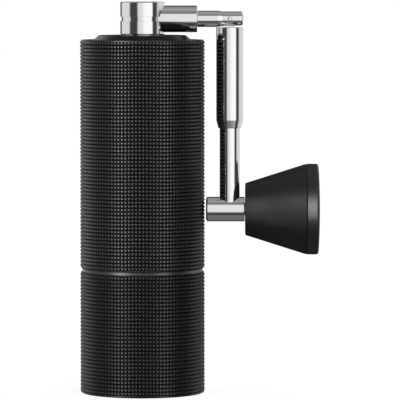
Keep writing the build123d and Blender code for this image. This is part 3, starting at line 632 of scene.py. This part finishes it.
PIN_LOW, PIN_HIGH = box_mm("fold_pin")
PIN_R, PIN_STEPS = 0.9, 48
FOLD_X, ARM_Z = (PIN_LOW.x + PIN_HIGH.x) / 2, (PIN_LOW.z + PIN_HIGH.z) / 2
KNOB_Z = (box_mm("knob_axle")[0].z + box_mm("knob_axle")[1].z) / 2


def finish_cad_nodes():
    """Gives every CAD node the finish of its material slot."""
    slots = {row["node"]: row["material_slot"] for row in frame["record"]["subparts"]}
    for node, piece in frame["nodes"].items():
        finish = FINISH[SLOT_FINISH[slots[node]]]
        if not piece.material_slots:
            piece.data.materials.append(finish)
        for holder in piece.material_slots:
            holder.material = finish


def upper_shell():
    """Knurled shell: shoulder, mouth, flange and bore, all one turned piece."""
    top, low = shell_high.z, shell_low.z
    mouth_r, flange_z, bore_r, edge = 20.3, top - 2.6, 24.0, 0.35
    lip_in, lip_tall, bevel = SHELL_LIP
    before = softened([
        (bore_r, low), (bore_r, flange_z), (mouth_r, flange_z, 0.3), (mouth_r, top, 0.4),
        (BODY_R - edge, top),
    ], False)
    after = softened([
        (BODY_R - 0.25, low + lip_tall + bevel - 0.2), (BODY_R - lip_in, low + lip_tall, 0.15),
        (BODY_R - lip_in, low, 0.12), (bore_r, low),
    ], False)[:-1]
    rows = plain_rows(before) + knurl_rows(BODY_R, top - edge, low + lip_tall + bevel) + plain_rows(after)
    return lathed_piece(
        "knurled_shell", rows, "knurl", KNURL_COLUMNS, "grinder_body", "body_black", "upper_shell"
    )


def catch_cup():
    """Knurled catch cup with a floor, a bore and a wider threaded mouth."""
    top = cup_high.z
    bore_r, mouth_r, ledge_z, floor, edge = 23.2, 24.0, 41.5, 2.6, 0.8
    inside = softened([
        (0.0, floor), (bore_r, floor, 2.0), (bore_r, ledge_z, 0.1), (mouth_r, ledge_z),
    ], False)
    thread = thread_rows(mouth_r, ledge_z + 1.2, top - 0.6, -1)
    rim = [(mouth_r, top - 0.3), (mouth_r + 0.3, top), (BODY_R - 0.5, top), (BODY_R - 0.2, top - 0.1)]
    after = softened([(BODY_R - 0.1, edge), (BODY_R, 0.0, edge - 0.1), (0.0, 0.0)], False)
    rows = plain_rows(inside) + thread + plain_rows(rim)
    rows += knurl_rows(BODY_R, top - CUP_EDGE, edge + 0.1) + plain_rows(after)
    return lathed_piece(
        "knurled_cup", rows, "knurl", KNURL_COLUMNS, "catch_cup", "body_black", "catch_cup"
    )


def burr_carrier():
    """Burr carrier with the screw thread that the cup runs on."""
    low, high = box_mm("burr_carrier")
    burr = box_mm("outer_burr")[1]
    burr_r, seat_z, throat_r, spigot_r, spigot_top = burr.x + 0.05, burr.z, 15.0, high.x - 0.2, shell_low.z
    foot = softened([
        (throat_r, seat_z), (burr_r, seat_z), (burr_r, low.z, 0.2), (spigot_r, low.z, 0.5),
        (spigot_r, low.z + 0.8),
    ], False)
    thread = thread_rows(spigot_r, low.z + 0.8, spigot_top - 0.4, 1)
    head = softened([
        (spigot_r, spigot_top), (high.x, spigot_top), (high.x, high.z, 0.3), (throat_r, high.z, 0.8),
        (throat_r, seat_z + 0.2),
    ], False)
    rows = plain_rows(foot) + thread + plain_rows(head)
    return lathed_piece(
        "threaded_carrier", rows, "chamber", THREAD_COLUMNS, "grinder_body", "chamber_plastic",
        "burr_carrier",
    )


def lid():
    """Lid with a sloped edge, a skirt with its seal groove and a boss for the bush."""
    low, high = box_mm("lid")
    seal_low, seal_high = box_mm("lid_seal")
    base_r, groove_r, bore_r, boss_r, skirt_r = high.x, high.x - 0.6, 8.1, 11.0, 17.6
    slope_z, top_r, plate_z, boss_z = shell_high.z + 0.15, 18.2, high.z - 3.3, low.z + 0.5
    outline = [
        (bore_r, boss_z, 0.2), (boss_r, boss_z, 0.3), (boss_r, plate_z, 0.6), (skirt_r, plate_z, 0.6),
        (skirt_r, low.z, 0.3), (base_r, low.z, 0.4), (base_r, seal_low.z - 0.05),
        (groove_r, seal_low.z - 0.05), (groove_r, seal_high.z + 0.05), (base_r, seal_high.z + 0.05),
        (base_r, slope_z, 0.15), (top_r, high.z, 0.7), (bore_r, high.z, 0.25),
    ]
    mesh = turned("turned_lid", outline)
    return new_piece("turned_lid", mesh, FINISH["lid"], "lid", "lid_black", "lid")


def crank_hub():
    """Hub with a square waist groove, a boss with a snap ring groove and a hexagonal socket."""
    low, high = box_mm("crank_hub")
    clip_low, clip_high = box_mm("hub_clip")
    hub_r, boss_r, foot_z, waist_z = high.x, 7.05, box_mm("lid")[1].z + 0.3, ARM_Z
    waist_r, waist_half, clip_r = hub_r - 0.55, 0.95, boss_r - 0.45
    outline = [
        (0.0, low.z), (boss_r, low.z, 0.5), (boss_r, clip_low.z - 0.05), (clip_r, clip_low.z - 0.05),
        (clip_r, clip_high.z + 0.05), (boss_r, clip_high.z + 0.05), (boss_r, foot_z),
        (hub_r, foot_z, 0.35), (hub_r, waist_z - waist_half, 0.03), (waist_r, waist_z - waist_half, 0.03),
        (waist_r, waist_z + waist_half, 0.03), (hub_r, waist_z + waist_half, 0.03),
        (hub_r, high.z, 0.45), (0.0, high.z),
    ]
    flats, socket_top = 7.0, 152.6
    corner_r = flats / sqrt(3)
    hexagon = [(0.0, low.z - 1), (corner_r, low.z - 1), (corner_r, socket_top), (0.0, socket_top)]
    socket = turned("socket", hexagon, closed=False, steps=6)
    mesh = carved(turned("turned_hub", outline, closed=False), socket)
    return new_piece("turned_hub", mesh, FINISH["chrome"], "crank", "polished_steel", "crank_hub")


def pin_hole(radius):
    """Cutter for the fold pin's hole."""
    outline = [(0.0, -4), (radius, -4), (radius, 4), (0.0, 4)]
    return turned("hole", outline, across_y(), closed=False, steps=PIN_STEPS)


def crank_arm():
    """Collar, neck and slotted knuckle, run a little way into the hub."""
    high = box_mm("crank_arm")[1]
    collar_r, knuckle_r, end_x = high.y, PIN_HIGH.y, high.x
    outline = [
        (0.0, COLLAR_ROOT_X), (collar_r, COLLAR_ROOT_X), (collar_r, COLLAR_END_X, 0.35),
        (NECK_R, COLLAR_END_X, 0.25), (NECK_R, TAPER_START_X, 0.8), (knuckle_r, TAPER_END_X, 0.8),
        (knuckle_r, end_x, 1.1), (0.0, end_x),
    ]
    bar = turned("turned_arm", outline, along_x(ARM_Z), closed=False)
    slot_low, slot_high = (FOLD_X - 2.5, -SLOT_HALF, ARM_Z - 10), (end_x + 1, SLOT_HALF, ARM_Z + 2.4)
    mesh = carved(bar, block_mesh("slot", slot_low, slot_high), pin_hole(PIN_R + 0.06))
    return new_piece("turned_arm", mesh, FINISH["chrome"], "crank", "polished_steel", "crank_arm")


def fold_pin():
    """Hinge pin with domed ends."""
    end = PIN_HIGH.y
    dome = [(0.0, end), (0.3, end - 0.012), (0.55, end - 0.045), (0.75, end - 0.11), (PIN_R, end - 0.28)]
    outline = [(r, -y) for r, y in dome] + [(r, y) for r, y in reversed(dome)]
    mesh = turned("domed_pin", outline, across_y(), closed=False, steps=PIN_STEPS)
    return new_piece("domed_pin", mesh, FINISH["chrome"], "crank", "polished_steel", "fold_pin")


def lever_rod():
    """Handle rod with a thin stem and a tongue that turns on the fold pin."""
    stem_top = ARM_Z - 6.3
    outline = [
        (0.0, KNOB_Z), (ROD_R, KNOB_Z), (ROD_R, ROD_SHOULDER_Z, 0.3), (STEM_R, ROD_SHOULDER_Z),
        (STEM_R, stem_top, 0.3), (0.0, stem_top),
    ]
    bar = turned("turned_rod", outline, Matrix.Translation((FOLD_X * MM, 0, 0)), closed=False)
    eye_r, half = 2.2, TONGUE_HALF
    tongue = block_mesh("tongue", (FOLD_X - eye_r, -half, stem_top - 1), (FOLD_X + eye_r, half, ARM_Z))
    rim = [(0.0, -half), (eye_r, -half, 0.1), (eye_r, half, 0.1), (0.0, half)]
    eye = turned("eye", rim, across_y(), closed=False, steps=64)
    mesh = carved(carved(bar, tongue, eye, operation="UNION"), pin_hole(PIN_R + 0.05))
    return new_piece("turned_rod", mesh, FINISH["chrome"], "lever", "polished_steel", "lever_rod")


def lock_sleeve():
    """Sliding sleeve: coned foot, spring chamber and a dished mouth that clears the knuckle."""
    low, high = box_mm("lock_sleeve")
    sleeve_r, dish_r, bore_r, foot_r = high.y, 6.25, ROD_R + 0.05, 4.75
    first = asin(SLEEVE_MOUTH_R / dish_r)
    last = asin(sqrt(dish_r ** 2 - (ARM_Z - high.z) ** 2) / dish_r)
    dish = [first + (last - first) * i / 8 for i in range(9)]
    outline = [(dish_r * sin(a), ARM_Z - dish_r * cos(a)) for a in dish]
    outline += [
        (sleeve_r, high.z, 0.18), (sleeve_r, SLEEVE_CONE_Z, 1.0), (foot_r, low.z, 0.25),
        (bore_r, low.z, 0.1), (bore_r, SPRING_CHAMBER_Z), (SPRING_CHAMBER_R, SPRING_CHAMBER_Z),
        (SPRING_CHAMBER_R, SPRING_SHOULDER_Z), (SLEEVE_MOUTH_R, SPRING_SHOULDER_Z),
    ]
    mesh = turned("turned_sleeve", outline, Matrix.Translation((FOLD_X * MM, 0, 0)))
    return new_piece(
        "turned_sleeve", mesh, FINISH["chrome"], "lock_sleeve", "polished_steel", "lock_sleeve"
    )


def sleeve_spring():
    """Spring round the rod's stem, which the lock sleeve squeezes as it is pulled back; the mesh keeps its rest
    length.
    """
    low, high = box_mm("sleeve_spring")
    wire, turns = 0.35, 9.0
    height = high.z - low.z - 2 * wire
    mesh = COIL.grown_from(
        bpy.data.meshes.new("coil"), FINISH["wire"], Steps=28, Turns=turns, Radius=(high.y - wire) * MM,
        Wire=wire * MM, Height=height * MM,
    )
    mesh.transform(Matrix.Translation(Vector((FOLD_X, 0, low.z + wire)) * MM))
    piece = new_piece("coiled_spring", mesh, FINISH["wire"], "lever", "spring_steel", "sleeve_spring")
    pull = next(j for j in frame["joints"] if j["name"] == "sleeve_pull")
    spare = 0.1
    squeezed = (pull["range_m"][1] / MM + spare) / (high.z - low.z)
    1.0 - squeezed
    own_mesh(piece)
    return piece


def cross_tube():
    """Short bar across the rod's foot with a blind bore for the knob's axle."""
    low, high = box_mm("cross_tube")
    cross_r, bore_r, bore_x = high.y, 2.5, box_mm("knob_axle")[0].x
    outline = [
        (0.0, low.x), (cross_r - 0.9, low.x, 0.25), (cross_r, low.x + 0.5, 0.3), (cross_r, high.x, 0.3),
        (bore_r, high.x), (bore_r, bore_x), (0.0, bore_x),
    ]
    mesh = turned("turned_cross", outline, along_x(KNOB_Z), closed=False)
    return new_piece("turned_cross", mesh, FINISH["chrome"], "lever", "polished_steel", "cross_tube")


def knob_body():
    """Flared grip, hollow from its wide end round a central boss."""
    low, high = box_mm("knob_body")
    narrow_r, wide_r, wall, boss_r, bore_r, pocket_x = 10.85, high.y, 2.2, KNOB_BOSS_R, 4.5, 46.5
    slope = (wide_r - narrow_r) / (high.x - low.x)
    pocket_r = narrow_r + slope * (pocket_x - low.x) - wall
    outline = [
        (bore_r, low.x, 0.2), (narrow_r, low.x, 0.45), (wide_r, high.x, 0.3), (wide_r - wall, high.x, 0.2),
        (pocket_r, pocket_x, 0.8), (boss_r, pocket_x, 0.6), (boss_r, high.x, 0.2), (bore_r, high.x, 0.2),
    ]
    mesh = turned("turned_grip", outline, along_x(KNOB_Z))
    return new_piece("turned_grip", mesh, FINISH["grip"], "knob", "knob_black", "knob_body")


def knob_cap():
    """Cap with a flat band, a rounded edge and a shallow dome."""
    low, high = box_mm("knob_cap")
    wide_r, seam_x, face_x = high.y, box_mm("knob_body")[1].x + 0.05, high.x - 0.55
    boss_r, spigot_r, spigot_wall, edge, rise = KNOB_BOSS_R, wide_r - 3.2, 1.6, 1.2, high.x - face_x
    flat_r = wide_r - edge
    dome_r = (flat_r ** 2 + rise ** 2) / (2 * rise)
    dome = [(r, high.x - dome_r + sqrt(dome_r ** 2 - r ** 2)) for r in (flat_r * i / 8 for i in range(8))]
    outline = dome + [
        (flat_r, face_x), (wide_r, face_x, edge - 0.15), (wide_r, seam_x, 0.3), (spigot_r, seam_x),
        (spigot_r, low.x, 0.3), (spigot_r - spigot_wall, low.x, 0.3), (spigot_r - spigot_wall, seam_x),
        (boss_r, seam_x), (boss_r, seam_x + 1.5), (0.0, seam_x + 1.5),
    ]
    mesh = turned("turned_cap", outline, along_x(KNOB_Z), closed=False)
    return new_piece("turned_cap", mesh, FINISH["cap"], "knob", "knob_cap_black", "knob_cap")


finish_cad_nodes()
black_pieces = upper_shell(), catch_cup(), lid(), knob_body(), knob_cap()
for make in (
    burr_carrier, crank_hub, crank_arm, fold_pin, lever_rod, lock_sleeve, sleeve_spring, cross_tube
):
    make()


# --- studio ----------------------------------------------------------------------------------

def studio_world():
    """White to the camera; to the object, tall soft panels with dark gaps between them."""
    world = bpy.data.worlds.new("studio")
    bpy.context.scene.world = world
    world.use_nodes = True
    room = Graph(world.node_tree)
    room.tree.nodes.clear()
    x, y, z = room.split(room.get("ShaderNodeTexCoord", output="Generated"))
    azimuth = x.math("ARCTAN2", y * -1.0) * (180 / pi)
    height = z.math("ARCSINE") * (180 / pi)
    over = z.math("ARCTAN2", y * -1.0) * (180 / pi)
    front = azimuth.step(-30, -18, 0.0, 0.72) + azimuth.step(-12, 22, 0.0, 0.32)
    front = front * azimuth.step(52, 60, 1.0, 0.0)
    left = azimuth.step(-62, -76, 0.0, 0.72) * azimuth.step(-146, -128, 0.0, 1.0)
    right = azimuth.step(76, 96, 0.0, 0.68) * azimuth.step(158, 176, 1.0, 0.0)
    round_about = front + left + right + 0.06
    level = height.step(-36, -16) * height.step(38, 52, 1.0, 0.0)
    ceiling = over.step(58, 86, 0.22, 0.38) - over.step(88, 108, 0.0, 0.08) - over.step(126, 150, 0.0, 0.24)
    above = height.step(42, 54) * ceiling
    below = height.step(-62, -48, 0.16, 0.06) * height.step(-36, -20, 1.0, 0.0)
    light = round_about * level + above + below
    shown = room.get("ShaderNodeLightPath", output="Is Camera Ray")
    strength = light * (1.0 - shown) + shown
    out = room.get("ShaderNodeBackground", sockets={"Color": grey(1.0), "Strength": strength})
    room.add("ShaderNodeOutputWorld", sockets={"Surface": out})


KNURL_HEIGHTS = (-24, 8, 40, 72)     # elevations of the soft boxes for the knurl, in degrees


def only_for(name, *pieces):
    """A collection of the pieces that a light is for."""
    group = bpy.data.collections.new(name)
    for piece in pieces:
        group.objects.link(piece)
    return group


def strip_light(name, azimuth, elevations, width, radiance, receivers):
    """A column of soft boxes on an arc round the object, seen only by the pieces they are for."""
    centre = Vector((0.0, 0.0, (cad_low.z + cad_high.z) / 2))
    distance, tall = 1.0, 2 * tan(radians(elevations[1] - elevations[0]) / 2)
    for elevation in elevations:
        side, rise = radians(azimuth), radians(elevation)
        way = Vector((sin(side) * cos(rise), -cos(side) * cos(rise), sin(rise)))
        data = bpy.data.lights.new(name, "AREA")
        data.shape, data.size, data.size_y = "RECTANGLE", width, tall
        data.energy = radiance * pi * width * tall
        lamp = bpy.data.objects.new(name, data)
        bpy.context.scene.collection.objects.link(lamp)
        lamp.location = centre + way * distance
        lamp.rotation_mode = "QUATERNION"
        lamp.rotation_quaternion = way.to_track_quat("Z", "Y")
        lamp.visible_camera = False
        lamp.light_linking.receiver_collection = receivers


def black_lights(shell, cup, lid_piece, grip, cap):
    """Narrow strips that draw the long soft highlights on the black pieces."""
    knurls, grips = only_for("knurls", shell, cup), only_for("grips", grip)
    strip_light("strip_left", -41, KNURL_HEIGHTS, 0.44, 10.4, knurls)
    strip_light("strip_right", 42, KNURL_HEIGHTS, 0.34, 2.8, knurls)
    strip_light("strip_side", 112, (-10, 22), 0.50, 1.1, knurls)
    strip_light("strip_back", -150, (-10, 24), 0.45, 1.2, only_for("rims", shell, cup, lid_piece))
    strip_light("strip_grip", -38, (-30, -3, 24), 0.30, 4.5, grips)
    strip_light("strip_cap", 2, (-8, 15), 0.50, 6.4, only_for("caps", cap))


def studio_floor():
    """A pale floor that only the camera sees, so that it lights nothing."""
    mesh = bpy.data.meshes.new("floor")
    reach = 6.0
    corners = [(-reach, -reach, 0), (reach, -reach, 0), (reach, reach, 0), (-reach, reach, 0)]
    mesh.from_pydata(corners, [], [(0, 1, 2, 3)])
    floor = bpy.data.objects.new("floor", mesh)
    bpy.context.scene.collection.objects.link(floor)
    floor.location.z = cad_low.z - 0.02 * MM
    floor.visible_diffuse = floor.visible_glossy = floor.visible_transmission = False
    paint = bpy.data.materials.new("floor_white")
    paint.use_nodes = True
    coat = Graph(paint.node_tree)
    coat.tree.nodes.clear()
    glow = coat.get("ShaderNodeEmission", sockets={"Color": grey(0.86), "Strength": 1.0})
    matt = coat.get("ShaderNodeBsdfDiffuse", sockets={"Color": grey(0.42)})
    both = coat.get("ShaderNodeAddShader", sockets={0: glow, 1: matt})
    coat.add("ShaderNodeOutputMaterial", sockets={"Surface": both})
    paint.cycles.emission_sampling = "NONE"
    mesh.materials.append(paint)


def studio_camera():
    """A long lens, a little above the top of the grinder and aimed at its middle."""
    view_width, distance, rise, drop = 166.8 * MM, 1.6, 98.0 * MM, 1.1 * MM
    data = bpy.data.cameras.new("camera")
    data.sensor_width = 36.0
    data.lens = data.sensor_width * distance / view_width
    data.clip_start, data.clip_end = 0.05, 50.0
    camera = bpy.data.objects.new("camera", data)
    bpy.context.scene.collection.objects.link(camera)
    aim = Vector(((cad_low.x + cad_high.x) / 2, 0.0, (cad_low.z + cad_high.z) / 2 - drop))
    camera.location = aim + Vector((0.0, -distance, rise))
    camera.rotation_mode = "QUATERNION"
    camera.rotation_quaternion = (aim - camera.location).to_track_quat("-Z", "Y")
    bpy.context.scene.camera = camera


studio_world()
black_lights(*black_pieces)
studio_floor()
studio_camera()
bpy.context.scene.view_settings.view_transform = "Standard"
